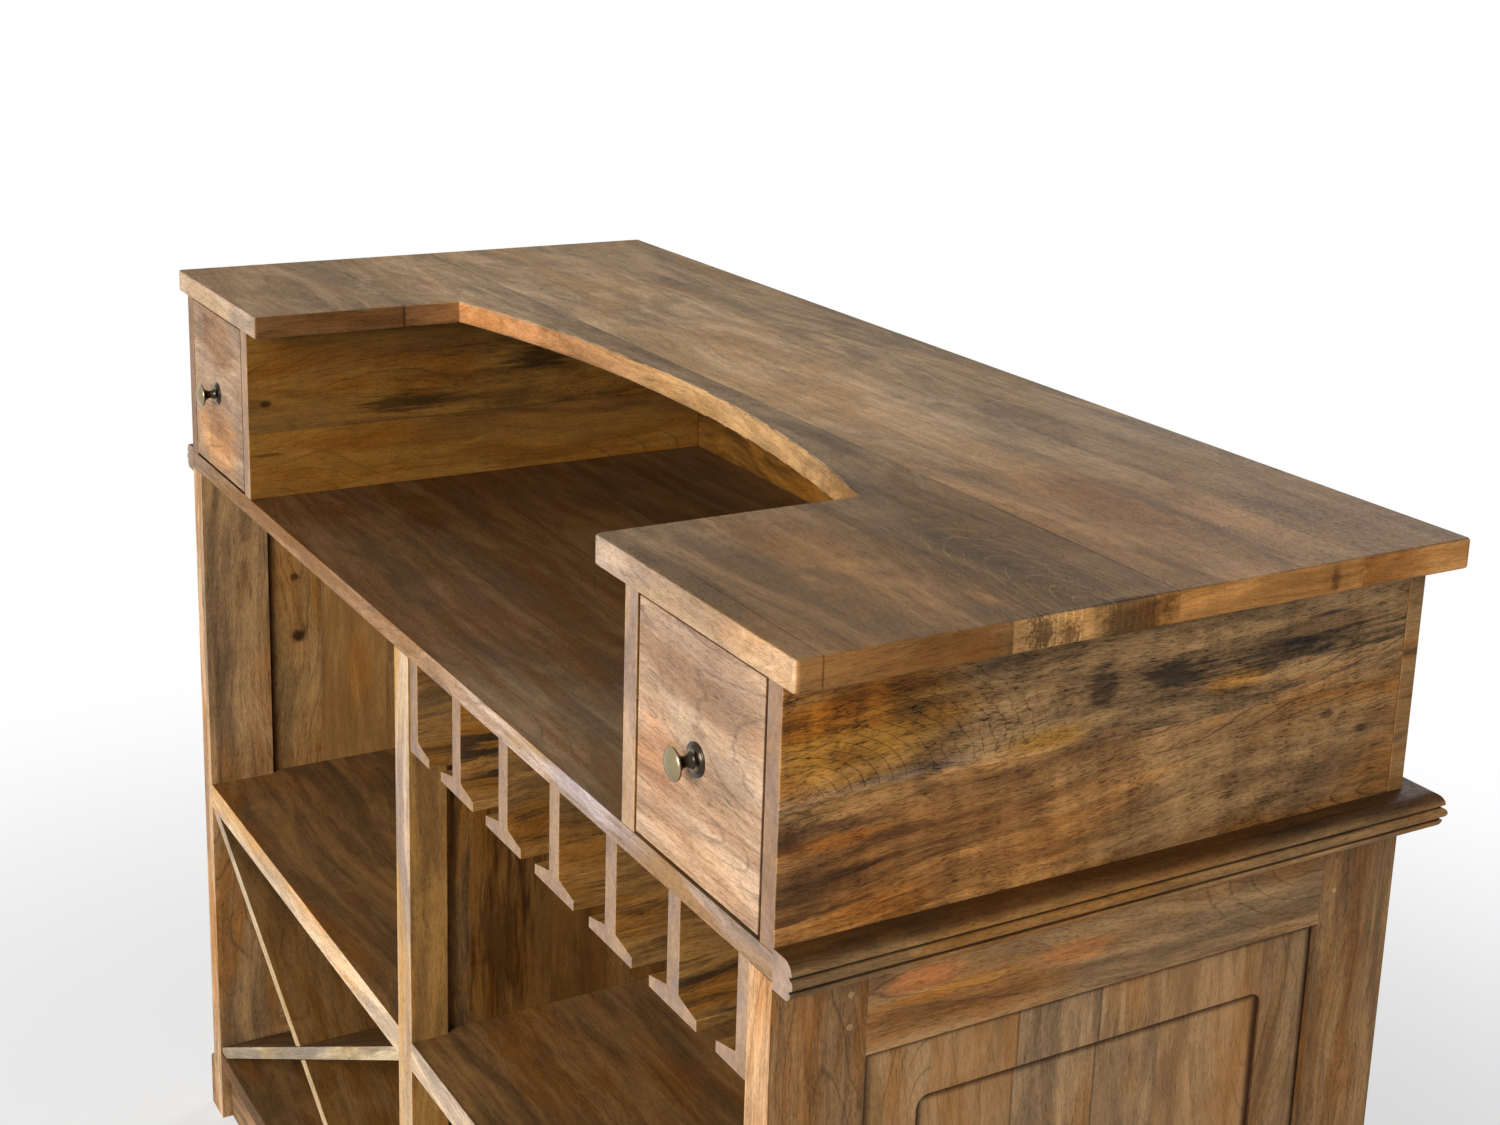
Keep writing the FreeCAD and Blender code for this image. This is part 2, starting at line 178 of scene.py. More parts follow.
def make_mango_figure():
    """Colour, roughness and height of a mango board; the first axis of Place runs along the grain."""
    inputs = {"Place": "Vector", "Seed": "Float"}
    inputs.update({shade: "Color" for shade in shades_of_wood})
    inputs.update({trait: "Float" for trait in traits_of_figure})
    outputs = {"Colour": "Color", "Roughness": "Float", "Height": "Float"}
    group, given, result = start_group("mango figure", inputs, outputs)

    def stretched(spot, along, across):
        return shift(group, "MULTIPLY", spot, (along, across, across))

    def pushed(spot, by, along, across):
        centred = shift(group, "SUBTRACT", by, (0.5, 0.5, 0.5))
        return shift(group, "ADD", spot, stretched(centred, along, across))

    # Each seed cuts the board from another spot of the tree; slow bends and fine ripples move its grain.
    far = place(group, "CombineXYZ", {0: given["Seed"], 1: times(group, given["Seed"], 1.7)}).outputs[0]
    spot = shift(group, "ADD", given["Place"], far)
    swell = cloud(group, stretched(spot, along=2.4, across=6.0), detail=2.0)["Color"]
    bent = pushed(spot, swell, along=0.08, across=0.07)
    ripple = cloud(group, stretched(bent, along=30.0, across=75.0), detail=3.0)["Color"]
    flow = pushed(bent, ripple, along=0.008, across=0.004)

    # Ash and warm patches under pale stripes and flames.
    patches = cloud(group, stretched(bent, along=2.2, across=9.0), detail=2.0)["Color"]
    warm_patch, streak_patch, smoke_patch = place(group, "SeparateColor", {0: patches}).outputs
    mottle = cloud(group, stretched(bent, along=7.0, across=22.0), detail=3.0)[0]
    warmth = rise(group, swing(group, warm_patch, mottle, 0.6), 0.4, 0.6)
    colour = tint(group, warmth, given["Ash"], given["Warm"])
    stripe = cloud(group, stretched(flow, along=3.5, across=40.0), detail=6.0, roughness=0.62)[0]
    flame = cloud(group, stretched(bent, along=4.0, across=17.0), detail=4.0, roughness=0.6, swirl=1.8)[0]
    pale = plus(group, stripe, minus(group, flame, stripe), given["Swirl"])
    pale = times(group, rise(group, pale, 0.43, 0.6), 0.9)
    colour = tint(group, pale, colour, given["Pale"])

    # Dark streaks and smoke in patches of their own, and year rings in the warm patches.
    streak = cloud(group, stretched(flow, along=5.0, across=80.0), detail=5.0, roughness=0.65)[0]
    streak = times(group, rise(group, streak, 0.49, 0.63), rise(group, streak_patch, 0.4, 0.62))
    colour = tint(group, times(group, streak, given["Streaks"]), colour, given["Dark"])
    fibre = cloud(group, stretched(flow, along=28.0, across=380.0), detail=4.0, roughness=0.6)[0]
    smoke = rise(group, swing(group, smoke_patch, fibre, 0.5), 0.56, 0.72)
    colour = paint(group, times(group, smoke, given["Smoke"]), colour, smoke_black)
    hill = cloud(group, stretched(flow, along=1.7, across=9.0), detail=1.0)[0]
    saw = calc(group, "FRACT", times(group, hill, 30.0))
    ring = times(group, near(group, saw, 0.5, 0.0, 0.09), rise(group, warm_patch, 0.46, 0.6))
    colour = tint(group, times(group, ring, given["Rings"]), colour, given["Dark"])

    # Fibres, flames and curl make the colour lighter and darker, and open pores make it darker.
    dash = cloud(group, stretched(flow, along=75.0, across=950.0), detail=2.0, roughness=0.6)[0]
    dash = rise(group, dash, 0.5, 0.66)
    pore = rise(group, cloud(group, stretched(flow, along=200.0, across=1400.0), detail=1.0)[0], 0.5, 0.62)
    curl = cloud(group, stretched(bent, along=60.0, across=15.0), detail=2.0)[0]
    curl = times(group, minus(group, curl, 0.5), given["Curl"])
    grain = cloud(group, stretched(flow, along=9.0, across=150.0), detail=4.0, roughness=0.6)[0]
    light = swing(group, 1.13, fibre, 0.6)
    light = swing(group, light, grain, 0.7)
    light = swing(group, light, flame, given["Swirl"])
    light = plus(group, light, curl, 1.0)
    light = plus(group, light, dash, -0.25)
    light = plus(group, light, pore, -0.22)
    light = plus(group, 1.0, minus(group, light, 1.0), given["Depth"])
    group.links.new(lit(group, colour, light), result["Colour"])

    dull = plus(group, 0.45, fibre, 0.25)
    group.links.new(plus(group, dull, pore, 0.15), result["Roughness"])
    height = plus(group, times(group, curl, 0.3), fibre, 0.6)
    group.links.new(plus(group, height, pore, -0.8), result["Height"])
    return group


def make_worn_and_lit_edge():
    """1 on a rounded edge between flat faces that lie square to the frame, 0 on the faces."""
    group, _, result = start_group("worn edge", {}, {"Mask": "Float"})
    looks = [calc(group, "ABSOLUTE", part) for part in facing(group)]
    square = calc(group, "MAXIMUM", calc(group, "MAXIMUM", looks[0], looks[1]), looks[2])
    group.links.new(rise(group, minus(group, 1.0, square), 0.02, 0.2), result["Mask"])
    return group


def make_stain():
    """1 inside an oval with an edge torn along the grain, 0 outside it."""
    inputs = {"Place": "Vector", "Centre": "Vector", "Size": "Vector", "Ragged": "Float"}
    group, given, result = start_group("stain", inputs, {"Mask": "Float"})
    reach = shift(group, "SUBTRACT", given["Place"], given["Centre"])
    reach = shift(group, "DIVIDE", reach, given["Size"])
    far = shift(group, "MULTIPLY", given["Centre"], (37.0, 53.0, 71.0))
    tears = shift(group, "ADD", shift(group, "MULTIPLY", reach, (1.2, 5.0, 5.0)), far)
    tears = cloud(group, tears, detail=6.0, roughness=0.7)[0]
    torn = times(group, minus(group, tears, 0.5), 2.0)
    distance = plus(group, length(group, reach), torn, given["Ragged"])
    group.links.new(fall(group, distance, 0.35, 1.0), result["Mask"])
    return group


def make_arches():
    """Thin lines where the saw cut the year rings: half ovals that stand on a line through their middle."""
    inputs = {"Place": "Vector", "Centre": "Vector", "Size": "Vector", "Count": "Float"}
    group, given, result = start_group("arches", inputs, {"Mask": "Float"})
    reach = shift(group, "SUBTRACT", given["Place"], given["Centre"])
    wavy = shift(group, "MULTIPLY", reach, (50.0, 40.0, 90.0))
    wavy = cloud(group, wavy, detail=3.0, roughness=0.6)[0]
    reach = shift(group, "DIVIDE", reach, given["Size"])
    level = length(group, reach)
    rough = plus(group, 0.012, rise(group, level, 0.35, 0.8), 0.075)
    saw = times(group, swing(group, level, wavy, rough), given["Count"])
    line = near(group, calc(group, "FRACT", saw), 0.5, 0.0, 0.1)
    fade = times(group, rise(group, level, 0.05, 0.2), fall(group, level, 0.85, 1.0))
    above = rise(group, axes(group, reach)[2], 0.0, 0.02)
    broken = times(group, above, plus(group, 0.4, rise(group, wavy, 0.3, 0.6), 0.6))
    group.links.new(times(group, times(group, line, fade), broken), result["Mask"])
    return group


mango_figure = make_mango_figure()
worn_and_lit_edge = make_worn_and_lit_edge()
stain = make_stain()
arches = make_arches()
glue_half = 0.0007


def strips_of(node, axis, joints, tones):
    """The strips of a board that is glued at some joints, for the timber below."""
    low, high = (corner["xyz".index(axis)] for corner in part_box(node))
    return axis, [low, *joints, high], tones


def glued_strips(tree, spot, axis, edges, tones):
    """What differs between the strips of a glued board: half the light on their faces and on their ends,
    warmth and seed; and a mask of the joints. A tone is a light, a warmth and, if it differs, a light on
    the ends. Lights are halved because the colours of a ramp stop at 1."""
    first = edges[0]
    span = edges[-1] - first
    across = axes(tree, spot)["xyz".index(axis)]
    across = calc(tree, "DIVIDE", minus(tree, across, first), span)
    starts = [(edge - first) / span for edge in edges[:-1]]
    half = glue_half / span
    lines = [(0.0, (0, 0, 0, 1))]
    for start in starts[1:]:
        lines += [(start - half, (0, 0, 0, 1)), (start, (1, 1, 1, 1)), (start + half, (0, 0, 0, 1))]
    steps = []
    for count, (start, (light, warmth, *end_light)) in enumerate(zip(starts, tones)):
        own_seed = (count * 0.37 + 0.11) % 1.0
        end_light = end_light[0] if end_light else light
        steps.append((start, (light / 2, warmth, own_seed, end_light / 2)))
    faces, half_end_light = ramp(tree, across, steps, "CONSTANT")
    half_light, warmth, own_seed = place(tree, "SeparateColor", {0: faces}).outputs
    return half_light, half_end_light, warmth, own_seed, ramp(tree, across, lines)[0]


mauve_grain = (0.22, 0.165, 0.15)


def sawn_front(tree, spot, colour, fresh):
    """Sawn end grain on the faces to the server: fine specks, pale patches and a tinge of mauve."""
    specks = cloud(tree, shift(tree, "MULTIPLY", spot, (260.0, 90.0, 200.0)), detail=4.0, roughness=0.7)[0]
    patches = cloud(tree, shift(tree, "MULTIPLY", spot, (40.0, 40.0, 22.0)), detail=3.0)["Color"]
    pale_patch, mauve_patch, _ = place(tree, "SeparateColor", {0: patches}).outputs
    light = plus(tree, plus(tree, 0.05, pale_patch, 0.8), specks, 1.1)
    mauve = times(tree, rise(tree, mauve_patch, 0.45, 0.65), 0.6)
    sawn = lit(tree, tint(tree, mauve, (*fresh, 1), (*mauve_grain, 1)), light)
    return tint(tree, times(tree, to_server(tree), 0.9), colour, sawn)


# The three axes in a board's own order, which begins with the axis of the grain.
grain_first = {"x": (0, 1, 2), "y": (1, 0, 2), "z": (2, 0, 1)}
seed_spread = 9.0
glue_line = (0.03, 0.02, 0.012)
# How much lighter rubbed edges get: wear, and also a painted highlight.
rubbed_bright = (1.6, 1.6, 1.6)


def timber(node, grain, seed, wood, streaks=0.5, rings=0.3, curl=0.25, smoke=0.0, swirl=0.4, depth=1.0,
           glued=None, seam=0.7, ends=None, turn=None, stains=(), cuts=(), planed=None, fresh=None,
           coat=None, rub=0.4, gloss=0.12):
    """The material of a mango board with its grain along an axis, of a wood (pale, warm, ash, dark).

    streaks, rings, curl, smoke, swirl: how much of each is in the figure; depth: how strongly it shows.
    glued: axis, edges and tones of the strips the board is glued from; seam: how dark the joints are.
    ends: a wood for the ends; turn: the axis and angle by which the grain is turned.
    stains: single marks, each with centre, half sizes, dye, amount and raggedness.
    cuts: cut year rings, each with centre, half sizes, count, dye and amount.
    planed: a dye for the faces to the server, paler where planed and painted shade on inner faces; fresh:
    their colour where the board is sawn off there.
    coat: a last change of colour, mostly painted shade; rub: how far the edges are rubbed bright, also a
    painted highlight; gloss: the shine of the oil.
    """
    material, tree = start_material(node)
    spot = place(tree, "TexCoord").outputs["Object"]
    lie = spot
    turned = Matrix.Identity(3)
    if turn:
        axis, angle = turn
        wires = {"Vector": spot, "Angle": angle}
        lie = place(tree, "VectorRotate", wires, rotation_type=axis + "_AXIS").outputs[0]
        turned = Matrix.Rotation(angle, 3, axis)
    order = grain_first[grain]
    parts = axes(tree, lie)
    along = place(tree, "CombineXYZ", {n: parts[axis] for n, axis in enumerate(order)}).outputs[0]
    traits = dict(zip(traits_of_figure, (streaks, rings, curl, smoke, swirl, depth)))

    def figured(lie_of_grain, shades):
        wires = {"Place": lie_of_grain, "Seed": seed, **traits}
        wires.update({name: (*shade, 1) for name, shade in zip(shades_of_wood, shades)})
        return place(tree, "Group", wires, node_tree=mango_figure).outputs

    def mark(shape, centre, half, **more):
        centre = turned @ Vector(centre)
        wires = {"Place": along, "Centre": [centre[n] for n in order], "Size": [half[n] for n in order]}
        return place(tree, "Group", {**wires, **more}, node_tree=shape).outputs["Mask"]

    if glued:
        half_light, half_end_light, warmth, own_seed, joint = glued_strips(tree, spot, *glued)
        seed = plus(tree, seed, own_seed, seed_spread)
    figure = figured(along, wood)
    colour = figure["Colour"]
    if ends:
        flat = place(tree, "CombineXYZ", {0: parts[1], 1: parts[2], 2: parts[0]}).outputs[0]
        colour = tint(tree, to_ends(tree), colour, figured(flat, ends)["Colour"])
    if glued:
        half_light = plus(tree, half_light, minus(tree, half_end_light, half_light), to_ends(tree))
        colour = paint(tree, warmth, colour, wood[1])
        colour = lit(tree, colour, times(tree, half_light, 2.0))
        colour = paint(tree, times(tree, joint, seam), colour, glue_line)
    for centre, half, shade, amount, ragged in stains:
        covered = times(tree, mark(stain, centre, half, Ragged=ragged), amount)
        colour = dye(tree, covered, colour, shade)
    for centre, half, count, shade, amount in cuts:
        drawn = times(tree, mark(arches, centre, half, Count=count), amount)
        colour = dye(tree, drawn, colour, shade)
    if planed:
        colour = dye(tree, to_server(tree), colour, planed)
    if fresh:
        colour = sawn_front(tree, spot, colour, fresh)
    if coat:
        colour = coat(tree, spot, colour)
    # Edges rubbed lighter by wear, which also paints a highlight on them.
    edge = place(tree, "Group", node_tree=worn_and_lit_edge).outputs["Mask"]
    colour = dye(tree, times(tree, edge, rub), colour, rubbed_bright)

    relief = place(tree, "Bump", {"Height": figure["Height"], "Strength": 0.2, "Distance": 0.0006})
    oiled = {"Base Color": colour, "Roughness": figure["Roughness"], "Specular IOR Level": gloss}
    board = place(tree, "BsdfPrincipled", {**oiled, "Normal": relief.outputs[0]})
    place(tree, "OutputMaterial", {"Surface": board.outputs[0]})
    return material


same_point = 0.00002
flat_angle = math.radians(0.5)
sharp_angle = math.radians(40)


def dress(node, grain, seed, wood, ease=0.0012, **finish):
    """Gives a board its wood and eases its sharp edges or, with no ease, keeps the edges of the cutter."""
    board = boards_of[node]
    board.data.materials.clear()
    board.data.materials.append(timber(node, grain, seed, wood, **finish))
    board.modifiers.new("weld", "WELD").merge_threshold = same_point
    flat = board.modifiers.new("flat", "DECIMATE")
    flat.decimate_type = "DISSOLVE"
    flat.angle_limit = flat_angle
    if ease:
        bevel = board.modifiers.new("ease", "BEVEL")
        bevel.width = ease
        bevel.segments = 3
        bevel.limit_method = "ANGLE"
        bevel.angle_limit = sharp_angle
        bevel.use_clamp_overlap = True
    else:
        board.modifiers.new("corners", "EDGE_SPLIT").split_angle = sharp_angle
    board.data.shade_smooth()
    normals = board.modifiers.new("normals", "WEIGHTED_NORMAL")
    normals.keep_sharp = False
    normals.weight = 100


def on_face(axis, level, depth, marks):
    """Stains or cuts on a face square to an axis; each names its middle and half sizes on the other two."""
    placed = []
    for middle, half, *rest in marks:
        middle = list(middle)
        half = list(half)
        middle.insert("xyz".index(axis), level)
        half.insert("xyz".index(axis), depth)
        placed.append((middle, half, *rest))
    return placed


frame_wood = (0.41, 0.235, 0.1), (0.31, 0.135, 0.036), (0.19, 0.11, 0.05), (0.055, 0.033, 0.02)
frame_figure = {"streaks": 0.35, "rings": 0.5, "smoke": 0.1, "swirl": 0.2, "depth": 1.2}
pale_front = (1.75, 1.9, 2.4)
# Painted shade: darkens the faces to the server of the rear stiles and rails, such as the rear stile's inner
# edge by the panel.
shaded_server_faces = (0.6, 0.55, 0.5)
dark_line = (0.3, 0.25, 0.22)
end_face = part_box("end_top_rail_right")[1].x
# Orange, brown and grey streaks along the right top rail.
rail_stains = on_face("x", end_face, 0.05, [
    ((-0.028, 0.798), (0.05, 0.012), (1.35, 0.95, 0.7), 0.9, 0.8),
    ((-0.2, 0.817), (0.022, 0.012), (0.5, 0.47, 0.5), 0.85, 1.0),
    ((-0.163, 0.811), (0.045, 0.013), (1.5, 1.0, 0.75), 0.9, 0.8),
    ((-0.128, 0.797), (0.07, 0.006), (1.25, 0.98, 0.42), 0.85, 0.8),
    ((-0.17, 0.784), (0.06, 0.011), (0.6, 0.57, 0.58), 0.85, 1.1),
    ((-0.1, 0.78), (0.08, 0.007), (0.55, 0.5, 0.5), 0.7, 1.2),
    ((0.13, 0.8), (0.09, 0.04), (1.0, 1.05, 1.1), 0.8, 0.5),
])
rail_cuts = on_face("x", end_face, 1.0, [((0.205, 0.825), (0.15, -0.075), 7.0, dark_line, 0.5)])
browned = on_face("x", end_face, 0.3, [((0.0, 0.6), (1.2, 3.0), (0.8, 0.76, 0.72), 1.0, 0.0)])
greyed = on_face("x", end_face, 0.05, [((-0.228, 0.8), (0.022, 0.2), (0.72, 0.74, 0.8), 0.85, 0.6)])
marked = {
    "end_top_rail_right": {"stains": rail_stains, "cuts": rail_cuts},
    "end_front_stile_right": {"stains": browned + greyed},
    "end_rear_stile_right": {"stains": browned},
}
for number, side in enumerate(("right", "left")):
    for step, (piece, grain) in enumerate((
        ("end_front_stile", "z"), ("end_rear_stile", "z"), ("end_bottom_rail", "y"), ("end_top_rail", "y"),
    )):
        seed = 3.1 + number * 5.3 + step * 1.7
        node = f"{piece}_{side}"
        # Front stiles are planed pale on the face to the server; the others get painted shade there.
        planed = pale_front if piece == "end_front_stile" else shaded_server_faces
        dress(node, grain, seed, frame_wood, planed=planed, **frame_figure, **marked.get(node, {}))


# End panels.
# Floating boards of upright strips glued edge to edge, with a tongue all round that runs in the frame's
# groove and a field sunk into the outer face. They lie back from the frame with a thin gap.

# How far the faces of the tongue and of the field lie behind the frame, and how wide the border is.
tongue_lie = 0.013
field_lie = 0.008
field_border = 0.048
# Where the painted shade is full and where it ends: off the frame, off the field's edge, off both depths.
shade_by_frame = (0.0025, 0.007)
shade_by_field = (field_border + 0.0025, field_border + 0.0085)
tongue_depths = (0.0042, 0.0047)
field_depths = (0.0006, 0.0012)
step_shade = (0.3, 0.26, 0.24)
gap_shade = (0.14, 0.1, 0.08)
corner_shade = (0.25, 0.2, 0.17)


def darkened_step(run, out, left, right, below, above):
    """The last tint of a floating panel between two uprights and two rails: painted shade on the faces of
    the steps, in the corners round the sunk field, along the frame and on the tongue, deep in the gap. The
    panel runs along one axis and faces out along another."""
    first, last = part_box(left)[1][run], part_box(right)[0][run]
    sill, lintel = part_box(below)[1].z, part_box(above)[0].z
    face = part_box(right)[1][out]

    def coat(tree, spot, colour):
        parts = axes(tree, spot)
        # Painted shade on the faces of the steps, which do not face out.
        slope = fall(tree, calc(tree, "ABSOLUTE", facing(tree)[out]), 0.85, 0.97)
        colour = dye(tree, slope, colour, step_shade)
        beside = calc(tree, "MINIMUM", minus(tree, parts[run], first), minus(tree, last, parts[run]))
        upright = calc(tree, "MINIMUM", minus(tree, parts[2], sill), minus(tree, lintel, parts[2]))
        inset = calc(tree, "MINIMUM", beside, upright)
        depth = minus(tree, face, calc(tree, "ABSOLUTE", parts[out]))
        on_tongue = near(tree, depth, tongue_lie, *tongue_depths)
        in_gap = calc(tree, "MAXIMUM", fall(tree, inset, *shade_by_frame), on_tongue)
        colour = dye(tree, in_gap, colour, gap_shade)
        on_field = near(tree, depth, field_lie, *field_depths)
        in_corner = times(tree, fall(tree, inset, *shade_by_field), on_field)
        return dye(tree, in_corner, colour, corner_shade)

    return coat


panel_wood = (0.4, 0.24, 0.115), (0.32, 0.15, 0.046), (0.22, 0.132, 0.065), (0.056, 0.033, 0.019)
inside_wood = (0.4, 0.222, 0.08), (0.32, 0.138, 0.03), (0.22, 0.122, 0.044), (0.06, 0.034, 0.017)
panel_figure = {"streaks": 0.4, "rings": 0.5, "curl": 0.3, "smoke": 0.1, "rub": 0.0, "ease": 0.0006}
strip_tones = [(1.0, 0.2), (1.05, 0.45), (0.92, 0.0), (1.0, 0.1), (1.08, 0.35), (0.82, 0.1), (1.12, 0.1)]
left_tones = [(0.95, 0.0), (1.05, 0.45), (0.9, 0.1), (1.0, 0.3), (0.9, 0.0), (1.0, 0.2)]
panel_half = 0.2165
right_strips = ("y", [-panel_half, -0.15, -0.0745, 0.0, 0.06, 0.155, 0.2, panel_half], strip_tones)
left_strips = ("y", [-panel_half, -0.141, -0.06, 0.01, 0.09, 0.15, panel_half], left_tones)
# Two knots on the inside of the left panel, with the darker and warmer wood round them.
knots = on_face("x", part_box("end_panel_left")[1].x, 0.03, [
    ((-0.173, 0.693), (0.007, 0.007), (0.25, 0.2, 0.18), 0.9, 0.6),
    ((-0.169, 0.618), (0.013, 0.011), (0.12, 0.1, 0.1), 0.97, 0.7),
    ((-0.165, 0.66), (0.02, 0.09), (0.75, 0.7, 0.65), 0.7, 1.0),
    ((-0.141, 0.65), (0.006, 0.2), (0.7, 0.72, 0.8), 0.8, 0.5),
    ((-0.094, 0.563), (0.024, 0.07), (1.2, 1.0, 0.7), 0.7, 0.6),
])
end_step = darkened_step(
    1, 0, "end_front_stile_right", "end_rear_stile_right", "end_bottom_rail_right", "end_top_rail_right",
)
for number, (side, wood, strips, marks) in enumerate((
    ("right", panel_wood, right_strips, ()), ("left", inside_wood, left_strips, knots),
)):
    dress(f"end_panel_{side}", "z", 11.3 + number * 4.1, wood, glued=strips, stains=marks, depth=1.2,
          coat=end_step, **panel_figure)


# Frame pegs.
# Thin round pins of paler wood driven through each mortise and tenon, sanded flush with the stiles.

peg_wood = (0.42, 0.26, 0.12), (0.34, 0.18, 0.065), (0.3, 0.175, 0.075), (0.12, 0.07, 0.035)
dress("frame_pegs", "x", 2.2, peg_wood, streaks=0.2, rings=0.1, ease=0.0003)


# Guests' side.
# A wide frame of stiles, rails and a middle muntin that holds two floating panels of upright strips,
# made and oiled like the end frames.

# Painted shade on the faces of the guests' frame and panels that look into the bays.
shade_inside = (0.28, 0.245, 0.2)
strip_count = 7
strip_width = 0.575 / strip_count
strip_wander = 0.011
for step, (node, grain) in enumerate((
    ("guest_stile_left", "z"), ("guest_stile_right", "z"), ("guest_muntin", "z"),
    ("guest_bottom_rail", "x"), ("guest_top_rail", "x"),
)):
    dress(node, grain, 21.7 + step * 2.3, frame_wood, streaks=0.4, rings=0.5, smoke=0.1, planed=shade_inside)
for side, low, left, right in (
    ("left", -0.6, "guest_stile_left", "guest_muntin"),
    ("right", 0.025, "guest_muntin", "guest_stile_right"),
):
    edges = [low + strip_width * n + strip_wander * math.sin(n * 2.4) for n in range(strip_count + 1)]
    guest_step = darkened_step(0, 1, left, right, "guest_bottom_rail", "guest_top_rail")
    dress(f"guest_panel_{side}", "z", 31.0 + low, panel_wood, glued=("x", edges, strip_tones),
          planed=shade_inside, coat=guest_step, **panel_figure)


# Floor board, front base rail and skirting.
# The floor closes the two bays, and the skirting, rounded along its top, is mitred round the ends and the
# guests' side. All of it is solid mango.

shelf_wood = (0.25, 0.125, 0.04), (0.19, 0.072, 0.014), (0.13, 0.066, 0.024), (0.045, 0.024, 0.012)
dress("floor_board", "x", 41.0, shelf_wood)
dress("base_rail_front", "x", 43.0, frame_wood, rings=0.4, planed=(1.4, 1.4, 1.5))
for step, (node, grain) in enumerate((
    ("skirting_right", "y"), ("skirting_left", "y"), ("skirting_guest", "x"),
)):
    dress(node, grain, 45.0 + step * 3.0, frame_wood, rings=0.4, ease=0.0008)


# Divider.
# A post on the server's side carries the middle of the counter, and a panel of upright strips runs from its
# groove to the guests' side.

divider_wood = (0.36, 0.185, 0.05), (0.31, 0.122, 0.018), (0.19, 0.095, 0.03), (0.04, 0.024, 0.014)
pale_post = (1.75, 2.5, 6.0)
dress("divider_post", "z", 51.0, divider_wood, streaks=0.2, swirl=0.15, planed=pale_post)
divider_joints = [-0.222, -0.135, -0.075, 0.0, 0.06, 0.13]
divider_tones = [(1.0, 0.0), (0.6, 0.35), (0.54, 0.5), (0.58, 0.2), (0.5, 0.3), (0.56, 0.5), (0.5, 0.2)]
divider_strips = strips_of("divider_panel", "y", divider_joints, divider_tones)
# Dark blotches and one of gold on the right face.
divider_stains = on_face("x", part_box("divider_panel")[1].x, 0.03, [
    ((-0.17, 0.7), (0.05, 0.16), (0.22, 0.17, 0.12), 0.9, 1.4),
    ((-0.1, 0.62), (0.05, 0.1), (1.5, 1.25, 0.7), 0.8, 1.2),
    ((-0.05, 0.7), (0.06, 0.14), (0.25, 0.2, 0.15), 0.9, 1.4),
    ((-0.185, 0.52), (0.04, 0.1), (0.3, 0.25, 0.2), 0.85, 1.3),
])
dress("divider_panel", "z", 53.0, divider_wood, streaks=0.9, rings=0.4, smoke=0.6, depth=1.2,
      glued=divider_strips, stains=divider_stains)


# Shelves.
# Two thick boards at one level, let in round the stiles and the post, with planed pale front edges.

pale_shelf_edge = (3.6, 5.2, 10.0)
for number, side in enumerate(("right", "left")):
    seed = 61.0 + number * 3.7
    dress(f"shelf_{side}", "x", seed, shelf_wood, streaks=0.4, swirl=0.3, planed=pale_shelf_edge)


# Crossed bottle rack.
# Two thin boards halved into each other, set corner to corner in the lower left bay.

# A darker copy of the rack wood, as painted shade from the shelf above; the pale edges are raised to match.
shaded_cross_wood = (0.18, 0.09, 0.028), (0.145, 0.06, 0.01), (0.09, 0.046, 0.016), (0.025, 0.014, 0.007)
pale_cross_edge = (3.4, 5.2, 10.5)
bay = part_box("cross_board_rising")
slope = math.atan2(bay[1].z - bay[0].z, bay[1].x - bay[0].x)
for node, lean in (("cross_board_falling", -1), ("cross_board_rising", 1)):
    dress(node, "x", 71.0 + lean, shaded_cross_wood, planed=pale_cross_edge, turn=("Y", lean * slope), rub=0.0)


# Stemware rack.
# Rails of T section screwed up under the counter; glasses hang by the foot between their flanges.

rack_wood = (0.31, 0.155, 0.043), (0.25, 0.1, 0.015), (0.155, 0.08, 0.025), (0.04, 0.022, 0.011)
rail_end = (0.345, 0.226, 0.143)
for number in range(1, 8):
    dress(f"stem_rail_{number}", "y", 80.0 + number * 1.9, rack_wood, ease=0.0008, streaks=1.0, rings=0.4,
          curl=0.2, smoke=0.5, depth=1.3, fresh=rail_end)


# Counter.
# A wide board glued from long strips, flush with the case on the server's side, oiled dark by use.

counter_wood = (0.175, 0.09, 0.034), (0.108, 0.043, 0.009), (0.09, 0.047, 0.019), (0.028, 0.016, 0.008)
counter_joints = [-0.16, -0.035, 0.075, 0.18]
counter_tones = [(1.05, 0.1), (0.95, 0.2), (1.0, 0.3), (0.9, 0.3), (1.0, 0.3)]
counter_strips = strips_of("counter_board", "y", counter_joints, counter_tones)
case_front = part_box("counter_board")[0].y
# Pale and brown lengths of the front edge, then worn and dark patches of the upper face, among them painted
# shadow and painted light.
counter_stains = on_face("y", case_front, 0.006, [
    ((0.5, 0.847), (0.3, 0.03), (1.1, 1.22, 1.5), 0.9, 0.2),
    ((-0.15, 0.847), (0.5, 0.03), (0.99, 0.9, 0.76), 1.0, 0.5),
]) + on_face("z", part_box("counter_board")[1].z, 0.03, [
    # Painted shadow along the left inner side.
    ((-0.36, -0.05), (0.2, 0.3), (0.8, 0.74, 0.68), 0.9, 0.3),
    # Partly wear and partly painted light towards the front right.
    ((0.3, -0.25), (0.25, 0.1), (1.65, 2.05, 2.9), 0.85, 0.7),
    ((-0.04, -0.184), (0.13, 0.06), (1.3, 1.3, 1.4), 0.7, 0.7),
    ((-0.288, -0.147), (0.06, 0.025), (0.6, 0.55, 0.55), 0.7, 0.9),
])
pale_counter_edge = (2.25, 2.85, 4.7)
